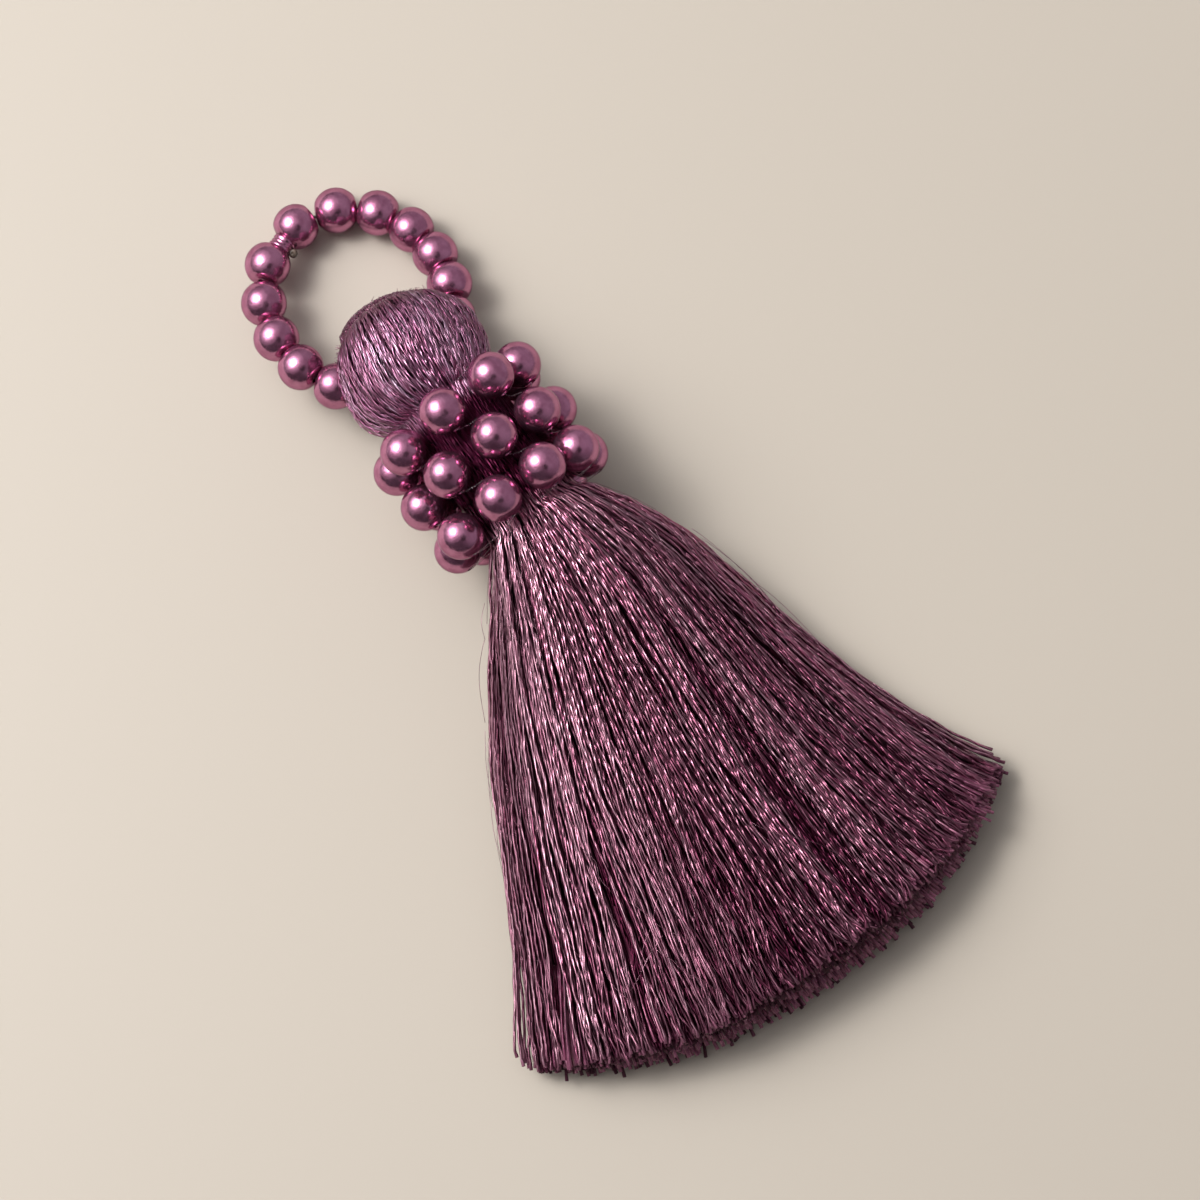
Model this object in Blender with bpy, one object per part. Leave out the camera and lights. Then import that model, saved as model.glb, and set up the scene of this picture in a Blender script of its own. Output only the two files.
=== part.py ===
"""A silk tassel lying on its side: hank, beaded collar and beaded hanging ring.

The hank is one bundle of fine thread. It is laid over the hanging ring, folded to make the head,
drawn in at the neck and cut off as a flared skirt. Three staggered rows of round beads make a
collar round the neck. The hanging ring is a cord that carries beads with flattened ends and one
crimp, and it runs through the fold of the head.

+Y points from the skirt to the ring, +Z is up, and the tassel rests on the plane z = 0.
The sizes below are millimetres.
"""

import math

import bmesh
import bpy
from mathutils import Vector

MM = 0.001

# The collar's centre in plan, which puts the whole tassel's box on the origin.
COLLAR_X = 4.45
COLLAR_Y = 11.23

# Beads: the same outer size in the ring and in the collar.
BEAD_RADIUS = 2.0
BEAD_BORE_RADIUS = 0.5
BEAD_SIDES = 12
BEAD_ARC_STEPS = 6
RING_BEAD_HALF_LENGTH = 1.2

# Collar: three rows of nine beads on one circle, about half a bead out of step.
COLLAR_AXIS_HEIGHT = 8.95
COLLAR_CIRCLE_RADIUS = 6.9
COLLAR_HIDDEN_BEADS = 4
# row name, its y, how far its +X side leans towards the ring, and the angles of its upper beads in
# degrees from the top towards +X. The hidden beads share out the rest of the circle underneath.
COLLAR_ROWS = (
    ("a", 4.45, 0.3, (-100, -57, -12, 33, 73)),
    ("b", 0.12, 0.0, (-91, -38, 6, 49, 86)),
    ("c", -4.30, 0.0, (-102, -65, -18.5, 20.5, 59)),
)

# Hanging ring: a loose oval that lies a little tilted, lowest at its far right and highest at the
# head's left. Its angles are in degrees from +X in its own plane, and its beads go round clockwise
# in equal steps, which open up at the far left and once more to let the crimp in.
RING_CENTRE = (0.18, 19.24, 3.72)
RING_SLOPE_X = -0.12
RING_SLOPE_Y = -0.16
RING_RADIUS = 8.42
RING_OVAL = 0.53
RING_OVAL_TOWARDS = 83
RING_BEAD_COUNT = 15
RING_FIRST_BEAD_AT = 220
RING_STEP = 24.0
RING_STEP_OPENING = 1.6
RING_OPEN_TOWARDS = 130
CRIMP_AFTER_BEAD = 5
CRIMP_STEP_OPENING = 3.4
CRIMP_RADIUS = 1.0
CRIMP_WAIST_RADIUS = 0.85
CRIMP_HALF_LENGTH = 0.5
CORD_RADIUS = 0.15
CORD_STEPS_PER_BEAD = 3
CORD_BEVEL_RESOLUTION = 2

# Tunnel that the ring makes through the head, round the beads inside it.
TUNNEL_RADIUS = 2.4
TUNNEL_WELD = 0.0001
TUNNEL_BEVEL_RESOLUTION = 4
TUNNEL_FIRST_BEAD = 10
TUNNEL_LAST_BEAD = 17

# Hank: a row for each section from the fold of the head to the cut end of the skirt, in plan from
# the collar's centre. bow is how far the middle of the section runs ahead of its two ends, edge is
# the height of the ends, a bottom below 0 is pressed flat, and lag is how far the top falls short
# of the bottom along the thread.
# left_x, left_y, right_x, right_y, bow, top, edge, bottom, lag
HANK_SECTIONS = (
    (-3.8, 15.7, 4.8, 14.7, 1.4, 9.0, 5.6, 3.5, 0.0),
    (-4.9, 15.1, 5.9, 14.0, 1.2, 12.5, 6.0, 1.2, 0.0),
    (-5.8, 14.0, 6.7, 12.9, 1.0, 13.9, 6.3, 0.3, 0.0),
    (-6.4, 12.4, 7.0, 11.3, 0.7, 14.4, 6.6, 0.2, 0.0),
    (-6.8, 10.4, 6.8, 9.7, 0.5, 14.6, 6.9, 0.8, 0.0),
    (-6.6, 8.5, 6.3, 8.2, 0.3, 14.4, 7.6, 2.2, 0.0),
    (-5.6, 6.9, 5.4, 6.8, 0.1, 14.0, 8.5, 3.7, 0.0),
    (-4.6, 5.4, 4.6, 5.4, 0.0, 13.55, 8.95, 4.35, 0.0),
    (-4.6, -5.2, 4.6, -5.2, 0.0, 13.55, 8.95, 4.35, 0.0),
    (-5.6, -6.9, 5.8, -6.9, -0.2, 13.9, 8.8, 3.4, 0.0),
    (-8.1, -9.9, 8.2, -10.2, -1.2, 13.5, 7.5, 1.6, 0.0),
    (-10.6, -12.9, 10.0, -13.9, -2.2, 12.8, 6.2, 0.4, 0.0),
    (-14.3, -18.0, 11.6, -20.2, -3.3, 11.6, 4.4, -0.6, 0.0),
    (-17.7, -23.6, 12.9, -26.6, -4.2, 10.5, 3.4, -1.0, 0.2),
    (-20.9, -29.2, 14.5, -33.0, -5.0, 9.6, 2.8, -1.0, 0.5),
    (-24.0, -35.0, 16.3, -39.2, -5.9, 8.9, 2.4, -1.0, 1.0),
    (-26.8, -39.6, 18.1, -44.0, -6.9, 8.3, 2.1, -1.0, 1.7),
    (-28.2, -42.3, 19.3, -46.2, -7.9, 7.6, 1.9, -1.0, 2.3),
)
HANK_POINTS_ROUND = 64
HANK_BOW_POWER = 2.6
SKIRT_FIRST_SECTION = 9
SKIRT_HOLLOWS_FULL_SHARE = 0.33
# Main hollows between the clumps of thread: place across the top (-1 left, 1 right), depth, width
SKIRT_HOLLOWS = (
    (-0.80, 0.45, 0.06),
    (-0.55, 0.55, 0.07),
    (-0.29, 0.50, 0.07),
    (-0.10, 0.60, 0.06),
    (0.10, 0.55, 0.07),
    (0.34, 0.80, 0.08),
    (0.53, 0.60, 0.07),
    (0.76, 0.45, 0.06),
)
END_RAGGED_DEPTH = 0.35
END_RAGGED_WAVES = (9, 4)
END_CAP_SHARE = 0.5
HEAD_CAP_DISH = 0.8
SKIRT_CAP_DISH = 1.0

SMOOTH_ANGLE = math.radians(35)

PLUM_METAL = (0.210, 0.055, 0.120)
PLUM_SILK = (0.185, 0.060, 0.110)
CLEAR_CORD = (0.62, 0.58, 0.55)


def material(name, colour, roughness, metallic):
    """A Principled material with one colour."""
    made = bpy.data.materials.new(name)
    made.use_nodes = True
    shader = made.node_tree.nodes["Principled BSDF"]
    shader.inputs["Base Color"].default_value = (*colour, 1.0)
    shader.inputs["Roughness"].default_value = roughness
    shader.inputs["Metallic"].default_value = metallic
    return made


def clear_scene():
    """Remove every object that the scene starts with."""
    for obj in list(bpy.data.objects):
        bpy.data.objects.remove(obj)


def placed(name, data, finish):
    """An object for data with its material, linked to the scene."""
    obj = bpy.data.objects.new(name, data)
    obj.data.materials.append(finish)
    bpy.context.scene.collection.objects.link(obj)
    return obj


def mesh_of(name, bm):
    """A smooth-shaded mesh of bm, with its faces turned outwards."""
    bmesh.ops.recalc_face_normals(bm, faces=bm.faces)
    mesh = bpy.data.meshes.new(name)
    bm.to_mesh(mesh)
    bm.free()
    mesh.shade_smooth()
    mesh.set_sharp_from_angle(angle=SMOOTH_ANGLE)
    return mesh


def in_frame(x, y, z):
    """A point in metres from millimetres measured from the collar's centre on the table."""
    return Vector((x + COLLAR_X, y + COLLAR_Y, z)) * MM


def turned_mesh(name, profile, sides):
    """The closed profile of (radius, along) points, turned about the Y axis."""
    bm = bmesh.new()
    rings = []
    for side in range(sides):
        angle = 2 * math.pi * side / sides
        across = math.sin(angle)
        up = -math.cos(angle)
        ring = [bm.verts.new((r * across * MM, y * MM, r * up * MM)) for r, y in profile]
        rings.append(ring)
    for side in range(sides):
        near = rings[side]
        far = rings[(side + 1) % sides]
        for i in range(len(profile)):
            j = (i + 1) % len(profile)
            bm.faces.new((near[i], near[j], far[j], far[i]))
    return mesh_of(name, bm)


def bead_profile(half_length, flat_ends):
    """Half outline of a bead with a bore, its ends cut off at half_length."""
    widest = math.asin(half_length / BEAD_RADIUS)
    profile = []
    for step in range(BEAD_ARC_STEPS + 1):
        angle = widest * (2 * step / BEAD_ARC_STEPS - 1)
        profile.append((BEAD_RADIUS * math.cos(angle), BEAD_RADIUS * math.sin(angle)))
    if flat_ends:
        profile.insert(0, (BEAD_BORE_RADIUS, -half_length))
        profile.append((BEAD_BORE_RADIUS, half_length))
    return profile


def round_the_collar(upper_angles):
    """Angles of all of a row's beads, from its upper ones."""
    left_over = 360 + upper_angles[0] - upper_angles[-1]
    step = left_over / (COLLAR_HIDDEN_BEADS + 1)
    hidden = [upper_angles[-1] + step * (k + 1) for k in range(COLLAR_HIDDEN_BEADS)]
    return [*upper_angles, *hidden]


def collar_beads(finish):
    """The three rows of round beads, each with its bore along the tassel."""
    half_length = math.sqrt(BEAD_RADIUS**2 - BEAD_BORE_RADIUS**2)
    mesh = turned_mesh("collar_bead", bead_profile(half_length, False), BEAD_SIDES)
    for row, row_y, lean, upper_angles in COLLAR_ROWS:
        for number, degrees in enumerate(round_the_collar(upper_angles), start=1):
            angle = math.radians(degrees)
            bead = placed(f"collar_{row}_bead_{number}", mesh.copy(), finish)
            bead.location = in_frame(
                COLLAR_CIRCLE_RADIUS * math.sin(angle),
                row_y + lean * math.sin(angle),
                COLLAR_AXIS_HEIGHT + COLLAR_CIRCLE_RADIUS * math.cos(angle),
            )


def ring_point(degrees):
    """The point of the tilted oval at this angle."""
    u = Vector((1, 0, RING_SLOPE_X)).normalized()
    normal = Vector((-RING_SLOPE_X, -RING_SLOPE_Y, 1)).normalized()
    v = normal.cross(u)
    angle = math.radians(degrees)
    radius = RING_RADIUS + RING_OVAL * math.cos(2 * (angle - math.radians(RING_OVAL_TOWARDS)))
    offset = radius * (math.cos(angle) * u + math.sin(angle) * v)
    return in_frame(*(Vector(RING_CENTRE) + offset))


def ring_route():
    """Centres of the ring's beads and crimp, in order along the cord."""
    centres = []
    degrees = RING_FIRST_BEAD_AT
    for number in range(1, RING_BEAD_COUNT + 1):
        centres.append(ring_point(degrees))
        degrees -= RING_STEP
        degrees -= RING_STEP_OPENING * math.cos(math.radians(degrees - RING_OPEN_TOWARDS))
        if number == CRIMP_AFTER_BEAD:
            degrees -= CRIMP_STEP_OPENING
    between = (centres[CRIMP_AFTER_BEAD - 1] + centres[CRIMP_AFTER_BEAD]) / 2
    centres.insert(CRIMP_AFTER_BEAD, between)
    return centres


def smooth_route(centres, steps, first=0, last=None):
    """Points on a smooth closed curve through the centres, from the first to the last."""
    count = len(centres)
    last = count if last is None else last
    points = []
    for i in range(first, last):
        before, start, end, after = (centres[(i + k) % count] for k in (-1, 0, 1, 2))
        for step in range(steps):
            t = step / steps
            points.append(
                0.5 * (2 * start + (end - before) * t)
                + 0.5 * (2 * before - 5 * start + 4 * end - after) * t**2
                + 0.5 * (3 * start - before - 3 * end + after) * t**3
            )
    return points


def tube_curve(name, points, radius, resolution, closed):
    """A round tube along the points."""
    curve = bpy.data.curves.new(name, "CURVE")
    curve.dimensions = "3D"
    curve.bevel_depth = radius * MM
    curve.bevel_resolution = resolution
    curve.use_fill_caps = not closed
    spline = curve.splines.new("POLY")
    spline.points.add(len(points) - 1)
    for spline_point, place in zip(spline.points, points):
        spline_point.co = (*place, 1.0)
    spline.use_cyclic_u = closed
    return curve


def ring_pieces(bead_finish, crimp_finish, cord_finish):
    """The ring's beads and crimp, each turned along the cord, and the cord through them."""
    centres = ring_route()
    bead_mesh = turned_mesh("ring_bead", bead_profile(RING_BEAD_HALF_LENGTH, True), BEAD_SIDES)
    crimp_profile = (
        (BEAD_BORE_RADIUS, -CRIMP_HALF_LENGTH),
        (CRIMP_RADIUS, -CRIMP_HALF_LENGTH),
        (CRIMP_WAIST_RADIUS, 0.0),
        (CRIMP_RADIUS, CRIMP_HALF_LENGTH),
        (BEAD_BORE_RADIUS, CRIMP_HALF_LENGTH),
    )
    crimp_mesh = turned_mesh("ring_crimp", crimp_profile, BEAD_SIDES)
    number = 0
    for i, centre in enumerate(centres):
        along = centres[(i + 1) % len(centres)] - centres[i - 1]
        if i == CRIMP_AFTER_BEAD:
            piece = placed("ring_crimp", crimp_mesh, crimp_finish)
        else:
            number += 1
            piece = placed(f"ring_bead_{number:02d}", bead_mesh.copy(), bead_finish)
        piece.location = centre
        piece.rotation_euler = along.to_track_quat("Y", "Z").to_euler()
    cord_points = smooth_route(centres, CORD_STEPS_PER_BEAD)
    cord = tube_curve("ring_cord", cord_points, CORD_RADIUS, CORD_BEVEL_RESOLUTION, True)
    placed("ring_cord", cord, cord_finish)


def skirt_hollow(across):
    """How far the clumps' hollows lower the top of the skirt at this place across it."""
    depth = 0.0
    for place, deepest, width in SKIRT_HOLLOWS:
        depth += deepest * math.exp(-(((across - place) / width) ** 2))
    return depth


def hank_section(index):
    """The points of one section of the hank, round from its right end over the top."""
    left_x, left_y, right_x, right_y, bow, top, edge, bottom, lag = HANK_SECTIONS[index]
    in_skirt = max(0, index - SKIRT_FIRST_SECTION) / (len(HANK_SECTIONS) - SKIRT_FIRST_SECTION)
    hollowed = min(1.0, in_skirt / SKIRT_HOLLOWS_FULL_SHARE)
    at_end = index == len(HANK_SECTIONS) - 1
    wave_a, wave_b = END_RAGGED_WAVES
    points = []
    for k in range(HANK_POINTS_ROUND):
        angle = 2 * math.pi * k / HANK_POINTS_ROUND
        across = math.cos(angle)
        rise = math.sin(angle)
        share = 0.5 + 0.5 * across
        x = left_x + (right_x - left_x) * share
        y = left_y + (right_y - left_y) * share
        y += bow * (1 - abs(across) ** HANK_BOW_POWER)
        if rise >= 0:
            z = edge + (top - edge) * rise
            z -= hollowed * rise * skirt_hollow(across)
            y += lag * rise
        else:
            z = max(0.0, edge + (edge - bottom) * rise)
        if at_end:
            y += END_RAGGED_DEPTH * math.sin(wave_a * angle) * math.cos(wave_b * angle)
        points.append(in_frame(x, y, z))
    return points


def close_end(bm, ring, inward):
    """Close an open end of the hank with an inner ring and a fan, dished a little inward."""
    middle = sum((v.co for v in ring), Vector()) / len(ring) + inward
    inner = [bm.verts.new(v.co.lerp(middle, END_CAP_SHARE)) for v in ring]
    hub = bm.verts.new(middle)
    for k in range(len(ring)):
        n = (k + 1) % len(ring)
        bm.faces.new((ring[k], ring[n], inner[n], inner[k]))
        bm.faces.new((inner[k], inner[n], hub))


def ring_tunnel():
    """A hidden round bar along the ring, a little wider than its beads, that cuts the head."""
    route = smooth_route(
        ring_route(), CORD_STEPS_PER_BEAD, TUNNEL_FIRST_BEAD, TUNNEL_LAST_BEAD
    )
    curve = tube_curve("tunnel_route", route, TUNNEL_RADIUS, TUNNEL_BEVEL_RESOLUTION, False)
    guide = bpy.data.objects.new("tunnel_route", curve)
    bm = bmesh.new()
    bm.from_mesh(bpy.data.meshes.new_from_object(guide))
    bmesh.ops.remove_doubles(bm, verts=bm.verts, dist=TUNNEL_WELD * MM)
    bar = bpy.data.objects.new("ring_tunnel", mesh_of("ring_tunnel", bm))
    bpy.data.objects.remove(guide)
    bpy.context.scene.collection.objects.link(bar)
    bar.hide_render = True
    bar.display_type = "WIRE"
    return bar


def silk_hank(finish):
    """The folded hank: head, neck and skirt in one piece, with the ring's tunnel through it."""
    bm = bmesh.new()
    rings = []
    for index in range(len(HANK_SECTIONS)):
        rings.append([bm.verts.new(point) for point in hank_section(index)])
    for near, far in zip(rings, rings[1:]):
        for k in range(HANK_POINTS_ROUND):
            n = (k + 1) % HANK_POINTS_ROUND
            bm.faces.new((near[k], near[n], far[n], far[k]))
    close_end(bm, rings[0], Vector((0, HEAD_CAP_DISH * MM, 0)))
    close_end(bm, rings[-1], Vector((0, SKIRT_CAP_DISH * MM, 0)))
    hank = placed("silk_hank", mesh_of("silk_hank", bm), finish)
    cut = hank.modifiers.new("ring_tunnel", "BOOLEAN")
    cut.operation = "DIFFERENCE"
    cut.object = ring_tunnel()


def build():
    clear_scene()
    plum_metal = material("plum_metal", PLUM_METAL, 0.18, 1.0)
    plum_silk = material("plum_silk", PLUM_SILK, 0.45, 0.0)
    clear_cord = material("clear_cord", CLEAR_CORD, 0.2, 0.0)
    silk_hank(plum_silk)
    collar_beads(plum_metal)
    ring_pieces(plum_metal, plum_metal, clear_cord)


build()
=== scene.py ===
"""Looks of the silk tassel: twisted threads, polished beads, a clear line and soft light.

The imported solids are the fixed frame. The threads take the place of the solid hank and follow the
same sections as its solid. The sizes below are millimetres, and the meshes are metres.
"""

import math

import bpy
import numpy as np
from mathutils import Matrix, Vector


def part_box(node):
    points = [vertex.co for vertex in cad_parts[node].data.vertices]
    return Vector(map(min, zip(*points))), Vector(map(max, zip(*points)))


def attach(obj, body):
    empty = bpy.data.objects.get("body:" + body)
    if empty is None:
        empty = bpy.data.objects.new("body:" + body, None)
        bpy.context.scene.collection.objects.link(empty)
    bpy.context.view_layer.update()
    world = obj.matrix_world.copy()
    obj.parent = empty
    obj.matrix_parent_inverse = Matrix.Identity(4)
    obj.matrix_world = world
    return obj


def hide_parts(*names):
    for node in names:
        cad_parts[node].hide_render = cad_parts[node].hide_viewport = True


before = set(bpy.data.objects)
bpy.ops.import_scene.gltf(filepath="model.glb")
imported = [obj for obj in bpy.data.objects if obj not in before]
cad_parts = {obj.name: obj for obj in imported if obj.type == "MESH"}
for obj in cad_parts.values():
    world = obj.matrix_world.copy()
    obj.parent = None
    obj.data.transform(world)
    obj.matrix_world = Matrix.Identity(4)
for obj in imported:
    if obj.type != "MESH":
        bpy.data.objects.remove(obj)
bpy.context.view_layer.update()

MM = 0.001

# Camera: where it looks, from where, and how wide the frame is there.
CAMERA_TARGET = (4.95, -3.42, 5.0)
CAMERA_AZIMUTH = math.radians(-37.5)
CAMERA_ELEVATION = math.radians(79.0)
CAMERA_DISTANCE = 400.0
CAMERA_NEAR = 10.0
CAMERA_FAR = 10000.0
FRAME_WIDTH = 102.0
SENSOR_WIDTH = 36.0

FLOOR_HALF_SIZE = 3000.0
FLOOR_COLOUR = (0.515, 0.465, 0.395, 1.0)
FLOOR_ROUGHNESS = 0.42

# Room: dim light, brighter on one side and dark in a patch over the tassel. Each has a direction in
# the camera's axes and a range: two cosines of the angle to it, and the strength at each.
ROOM_COLOUR = (0.88, 0.86, 0.90, 1.0)
ROOM_BRIGHT_SIDE = (0.72, 0.60, 0.35)
ROOM_BRIGHT_RANGE = (-0.2, 0.9, 0.05, 0.38)
ROOM_DARK_PATCH = (0.20, -0.16, 0.96)
ROOM_DARK_RANGE = (0.94, 0.98, 1.0, 0.1)

# Key light: discs, each with a radius and a radiance, that add up to a soft-edged window. The wide
# ones have a slightly different direction, also in the camera's axes.
KEY_DIRECTION = (-0.56, 0.33, 0.76)
GLOW_DIRECTION = (-0.62, 0.36, 0.70)
GLOW_FROM_RADIUS = 250.0
KEY_DISTANCE = 800.0
KEY_COLOUR = (1.0, 0.98, 0.975)
KEY_DISCS = ((77.0, 16.0), (168.0, 9.0), (284.0, 5.0), (439.0, 1.8), (671.0, 0.55), (1032.0, 0.25))

# The hank, in plan from the collar's centre: a row for each section from the fold of the head to
# the cut end of the skirt. bow is how far the middle of the section runs ahead of its two ends,
# edge is the height of the ends, a bottom below 0 is pressed flat, and lag is how far the top
# falls short of the bottom along the thread.
# left_x, left_y, right_x, right_y, bow, top, edge, bottom, lag
HANK_CENTRE = (4.45, 11.23)
HANK_SECTIONS = np.array((
    (-3.8, 15.7, 4.8, 14.7, 1.4, 9.0, 5.6, 3.5, 0.0),
    (-4.9, 15.1, 5.9, 14.0, 1.2, 12.5, 6.0, 1.2, 0.0),
    (-5.8, 14.0, 6.7, 12.9, 1.0, 13.9, 6.3, 0.3, 0.0),
    (-6.4, 12.4, 7.0, 11.3, 0.7, 14.4, 6.6, 0.2, 0.0),
    (-6.8, 10.4, 6.8, 9.7, 0.5, 14.6, 6.9, 0.8, 0.0),
    (-6.6, 8.5, 6.3, 8.2, 0.3, 14.4, 7.6, 2.2, 0.0),
    (-5.6, 6.9, 5.4, 6.8, 0.1, 14.0, 8.5, 3.7, 0.0),
    (-4.6, 5.4, 4.6, 5.4, 0.0, 13.55, 8.95, 4.35, 0.0),
    (-4.6, -5.2, 4.6, -5.2, 0.0, 13.55, 8.95, 4.35, 0.0),
    (-5.6, -6.9, 5.8, -6.9, -0.2, 13.9, 8.8, 3.4, 0.0),
    (-8.1, -9.9, 8.2, -10.2, -1.2, 13.5, 7.5, 1.6, 0.0),
    (-10.6, -12.9, 10.0, -13.9, -2.2, 12.8, 6.2, 0.4, 0.0),
    (-14.3, -18.0, 11.6, -20.2, -3.3, 11.6, 4.4, -0.6, 0.0),
    (-17.7, -23.6, 12.9, -26.6, -4.2, 10.5, 3.4, -1.0, 0.2),
    (-20.9, -29.2, 14.5, -33.0, -5.0, 9.6, 2.8, -1.0, 0.5),
    (-24.0, -35.0, 16.3, -39.2, -5.9, 8.9, 2.4, -1.0, 1.0),
    (-26.8, -39.6, 18.1, -44.0, -6.9, 8.3, 2.1, -1.0, 1.7),
    (-28.2, -42.3, 19.3, -46.2, -7.9, 7.6, 1.9, -1.0, 2.3),
))
HANK_BOW_POWER = 2.6
LEFT_LAG = 0.45
NECK_SECTION = 7.5
END_SECTION = len(HANK_SECTIONS) - 1

# Thread: two plies that turn about each other, drawn as a round thread with the plies as bump. A
# turn of the twist is a pitch long, and a step is how far apart the rings of the mesh are.
THREAD_WIDTH = 0.27
THREAD_RADIUS = THREAD_WIDTH / 2
THREAD_SIDES = 5
PLAIN_SIDES = 4
FIBRE_SIDES = 3
TWIST_PITCH = 2.9
HEAD_TWIST_PITCH = 2.6
PITCH_SPREAD = (0.8, 1.3)
TWIST_WANDER = 1.6
FINE_STEP = 0.62
HEAD_STEP = 0.52
COARSE_STEP = 1.2
BAKE_MAP = "OFBake"
# The plies stand out more towards the right: two places across the object, in metres, and the
# scale of the relief at each.
PLY_DEPTH = 0.060
PLY_RELIEF_RANGE = (-0.010, 0.008, 0.65, 1.8)

# Cut ends: how far in they fade, how much wider they are, and how matt and pale.
CUT_FADE = 0.35
END_CUT_FADE = 1.4
CUT_FLARE = 0.22
CUT_SHARE = 0.70
CUT_METAL_LOSS = 0.8
CUT_ROUGHER = 0.25

# Silk: a thread's tone lies between two colours, and the others are mixed in by at most a share.
# The gap colour is painted shade: in the grooves between the plies and on each thread's sides. A
# range is two values of a ply's crest and the share at each.
SKIRT_TONES = ((0.760, 0.225, 0.385, 1.0), (1.000, 0.600, 0.730, 1.0))
# The head's silk is the skirt's thread with darker, bluer tones: painted shade.
HEAD_SHADED_TONES = ((0.530, 0.215, 0.390, 1.0), (0.900, 0.670, 0.880, 1.0))
UNEVEN_COLOUR = (0.480, 0.150, 0.260, 1.0)
GAP_SHADE_COLOUR = (0.085, 0.004, 0.036, 1.0)
CUT_COLOUR = (0.460, 0.130, 0.250, 1.0)
SHADE_COLOUR = (0.050, 0.003, 0.018, 1.0)
UNEVEN_SHARE = 0.5
UNEVEN_SCALE = 0.35
TONE_SPACING = 91.0
GROOVE_SHADE_RANGE = (0.10, 0.65, 0.55, 0.0)
SIDE_SHADE_SHARE = 0.88
SILK_METAL = 0.97
SILK_ROUGHNESS = 0.30
SILK_GRAIN = 0.8
SILK_COAT = 0.8
SILK_COAT_ROUGHNESS = 0.12
COAT_IOR = 1.5

# Shade in the silk's colour, from 0 to 1, where the real, denser hank lets in less light. The one
# deep between the threads is softer at the skirt's right.
DEPTH_SHADE = 0.96
SIDE_SOFTENING = 0.35
END_SHADE = 0.47
HEAD_SHADE = 0.30
HEAD_DEPTH_SHADE = 0.45
FOLD_SHADE = 0.30
COLLAR_SHADE = 0.985
COLLAR_SHADE_ENDS = (4.7, 6.3)
COLLAR_SHADE_MIDDLE = -0.2
INNER_SHADE = 0.9

# Skirt: how many threads start at the neck, surface further down or lie under the others.
SKIRT_LENGTH = 52.0
SKIRT_FIRST_SECTION = 9.0
SKIRT_STEPS = 90
FINE_PIECES = 4
FINE_THREADS = 760
NECK_THREADS = 150
PLAIN_THREADS = 300
REST_THREADS = 70
END_THREADS = 1000
TOP_OVERLAP = 0.25
SEEN_OVERLAP = 0.6
# How deep the outer threads lie, and the locks and finer strands that they gather to.
SKIN_DEPTH = 1.1
LOCKS = 46
STRANDS = 120
LOCK_LIFT = 0.25
# Channels between the locks, sunk in and darkened further by painted shade: where across the
# skirt's top, how deep and how wide.
SKIRT_HOLLOWS = (
    (-0.80, 0.45, 0.06), (-0.55, 0.55, 0.07), (-0.29, 0.50, 0.07), (-0.10, 0.60, 0.06),
    (0.10, 0.55, 0.07), (0.34, 0.80, 0.08), (0.53, 0.60, 0.07), (0.76, 0.45, 0.06),
)
HOLLOW_DEPTH = 0.30
HOLLOW_PUSH = 0.09
# How threads wander: on how many waves, how far with their neighbours and alone, in radians round
# the hank, and in depth, across and in height, in millimetres.
WAVES = 3
SHARED_DRIFT = 0.05
CLUMP_DRIFT = 0.022
OWN_DRIFT = 0.030
CLUMP_DEPTH = 0.30
SKIRT_WAVER = (0.13, 0.15)
HEAD_DRIFT = 0.022
HEAD_WAVER = (0.09, 0.11)
# A thread's path runs on past the cut, and the thread is then cut to its own length. A few are cut
# longer than the others.
PAST_CUT = (0.7, 1.4)
CUT_SPREAD = 0.30
LONG_SHARE = 0.06
# Threads that leave the skirt's two edges: up to this angle from them, and this share of those.
EDGE_ANGLE = 0.22
EDGE_STRAY_SHARE = 0.10
# The longest of them: angle round the end and how far they stand out.
SKIRT_STRAYS = (
    (3.10, 0.9), (3.04, 0.6), (3.12, 0.5), (2.98, 0.7),
    (0.05, 0.6), (0.10, 0.9), (0.18, 0.7), (0.04, 0.4), (0.26, 0.6),
)

# Head: the section where its threads stand evenly, how deep they lie, how many rows each has on
# its way up and in its fold, and the share of it that has fine steps.
HEAD_THREADS = 290
HEAD_MIDDLE_SECTION = 4.0
HEAD_DEPTH = 0.55
HEAD_STEPS = 40
FOLD_STEPS = 7
FOLD_BULGE = 0.9
HEAD_FINE_SHARE = 0.55

FOLD_FIBRES = 260
SKIRT_FIBRES = 90
FIBRE_WIDTH = 0.045
FIBRE_CURL = 0.16

INNER_RIDGES = 180
INNER_RIDGE_DEPTH = 0.22
INNER_DEPTH = 1.15
INNER_TONE = 0.3

# Beads and crimp: the coating is a mirror with a small matt share, mottled between two tints.
RING_BEADS = [f"ring_bead_{n:02d}" for n in range(1, 16)]
COLLAR_BEADS = [f"collar_{row}_bead_{n}" for row in "abc" for n in range(1, 10)]
CRIMP_AFTER_BEAD = 5
BEAD_RADIUS = 2.0
BEAD_BORE_RADIUS = 0.35
BEAD_RIM = 0.08
BEAD_ROWS = 20
BEAD_END_ROWS = 6
BEAD_ROUND_FROM = math.radians(44.0)
BEAD_GAP = 0.02
BEAD_SEGMENTS = 32
BEAD_TINTS = ((0.570, 0.225, 0.378, 1.0), (0.420, 0.142, 0.258, 1.0))
BEAD_EDGE_TINT = (0.40, 0.22, 0.32, 1.0)
BEAD_RELIEF = 0.010
# Outline of one half of the crimp, and its middle: radius and place on its axis.
CRIMP_HALF = (
    (0.3, 0.5), (0.55, 0.6), (0.9, 0.62), (1.02, 0.5), (1.05, 0.3), (0.93, 0.18), (0.93, 0.08),
)
CRIMP_MIDDLE = (1.03, 0.0)

CORD_TINTS = ((0.060, 0.045, 0.035, 1.0), (0.130, 0.095, 0.070, 1.0))
KNOT_RADIUS = 0.2
KNOT_SIDES = 10
KNOT_STEPS = 40
KNOT_TURNS = 1.6

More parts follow.
